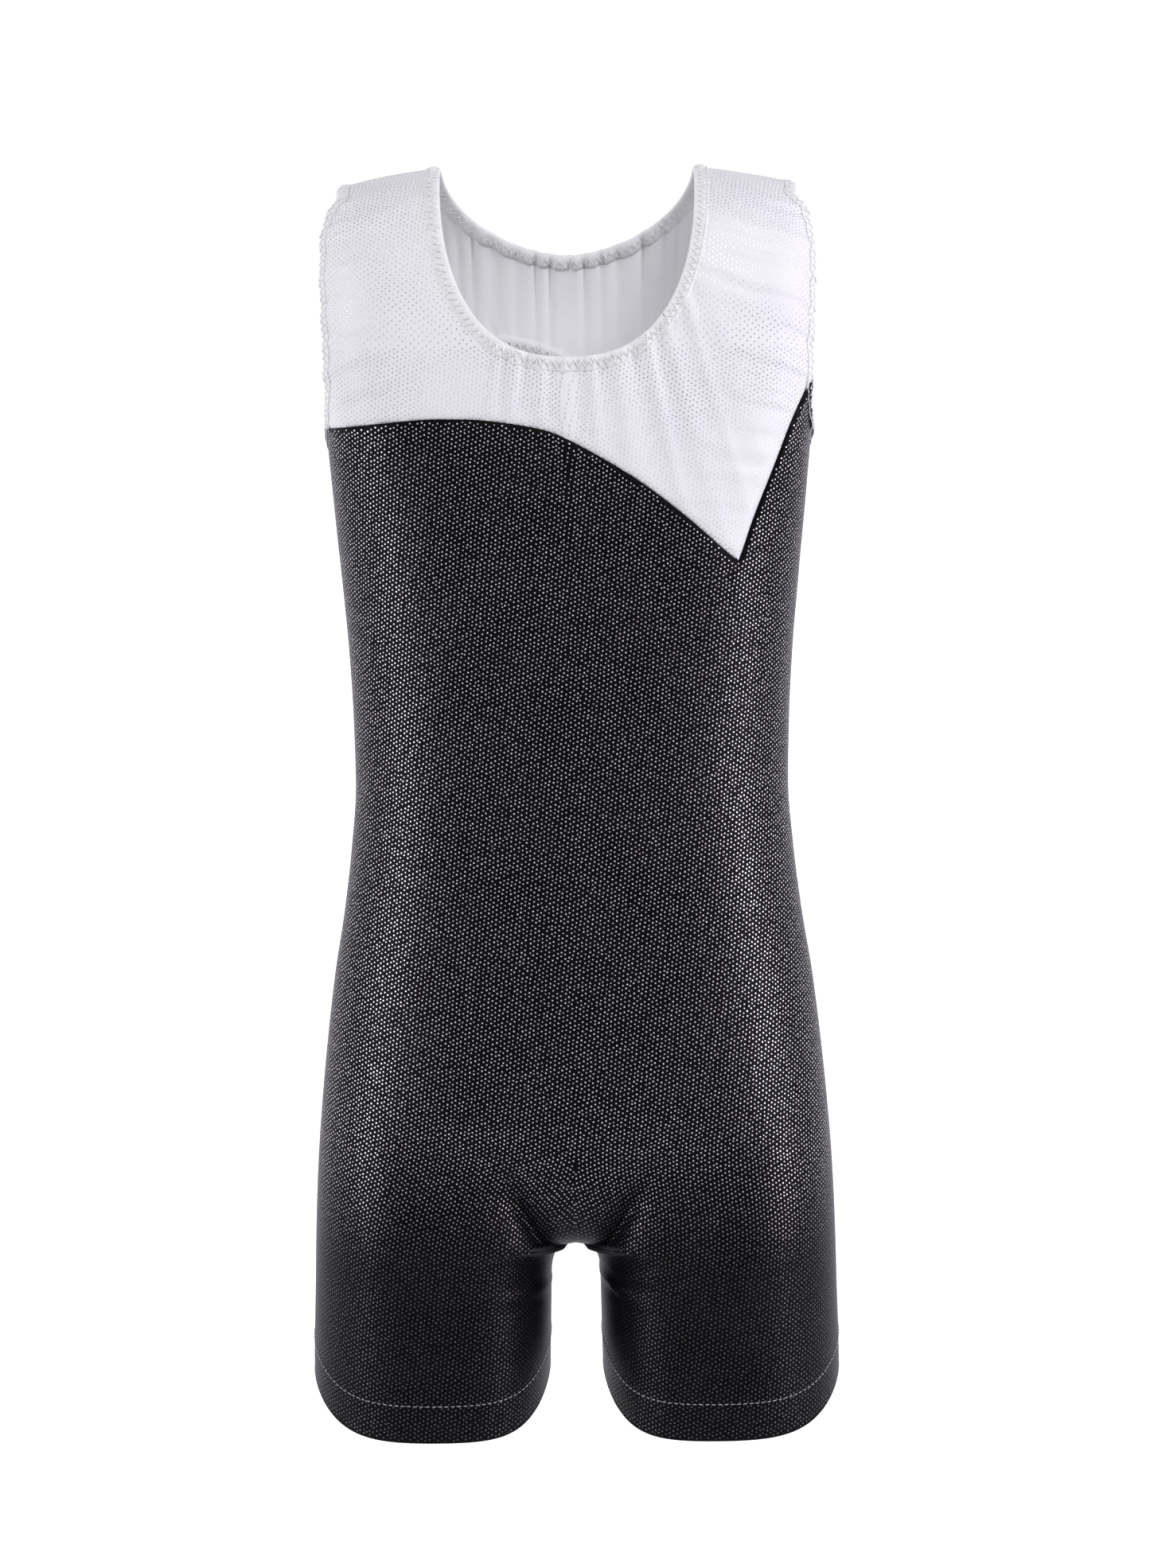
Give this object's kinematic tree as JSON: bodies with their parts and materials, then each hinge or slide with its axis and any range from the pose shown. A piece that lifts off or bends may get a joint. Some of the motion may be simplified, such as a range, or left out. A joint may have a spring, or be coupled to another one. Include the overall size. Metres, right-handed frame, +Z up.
{
  "type": "gymnastics leotard",
  "caption": "Child's sleeveless gymnastics leotard with short legs: white yoke over a dotted black body, scoop neck, slanted keyhole back, turned elastic edges.",
  "frame": {"origin": "below the middle of the garment as worn, at the height of the lowest point of the leg hems", "axes": "+Z up from the leg hems to the shoulders, the front faces -Y, +X is the wearer's left"},
  "size_m": [0.2448, 0.15, 0.584],
  "materials": {
    "white_cloth": "smooth matt stretch knit with faint foil dots",
    "black_foil_cloth": "black stretch knit with small silver foil dots",
    "white_lining": "plain fine knit",
    "black_lining": "plain fine knit",
    "edge_elastic": "woven elastic",
    "white_thread": "polyester thread",
    "black_thread": "polyester thread",
    "hem_thread": "bright polyester thread",
    "label_satin": "plain satin ribbon"
  },
  "bodies": {
    "garment": {"front_body": "black_foil_cloth", "back_body": "black_foil_cloth", "front_yoke": "white_cloth", "back_yoke": "white_cloth", "front_yoke_lining": "white_lining", "back_yoke_lining": "white_lining", "crotch_gusset": "black_lining", "neck_elastic": "edge_elastic", "right_armhole_elastic": "edge_elastic", "left_armhole_elastic": "edge_elastic", "keyhole_elastic": "edge_elastic", "neck_stitching": "white_thread", "right_armhole_stitching": "white_thread", "left_armhole_stitching": "white_thread", "keyhole_stitching": "white_thread", "right_hem_coverstitch": "hem_thread", "left_hem_coverstitch": "hem_thread", "right_side_seam": "black_thread", "left_side_seam": "black_thread", "right_shoulder_seam": "white_thread", "left_shoulder_seam": "white_thread", "front_yoke_seam": "black_thread", "back_yoke_seam": "black_thread", "inseam": "black_thread"},
    "care_label": {"care_label": "label_satin"}
  },
  "joints": [
    {"name": "label_flip", "type": "hinge", "parent": "garment", "child": "care_label", "pos_m": [0.0974, -0.007, 0.302], "axis": [0, 0, 1], "range_deg": [0, 118]}
  ]
}
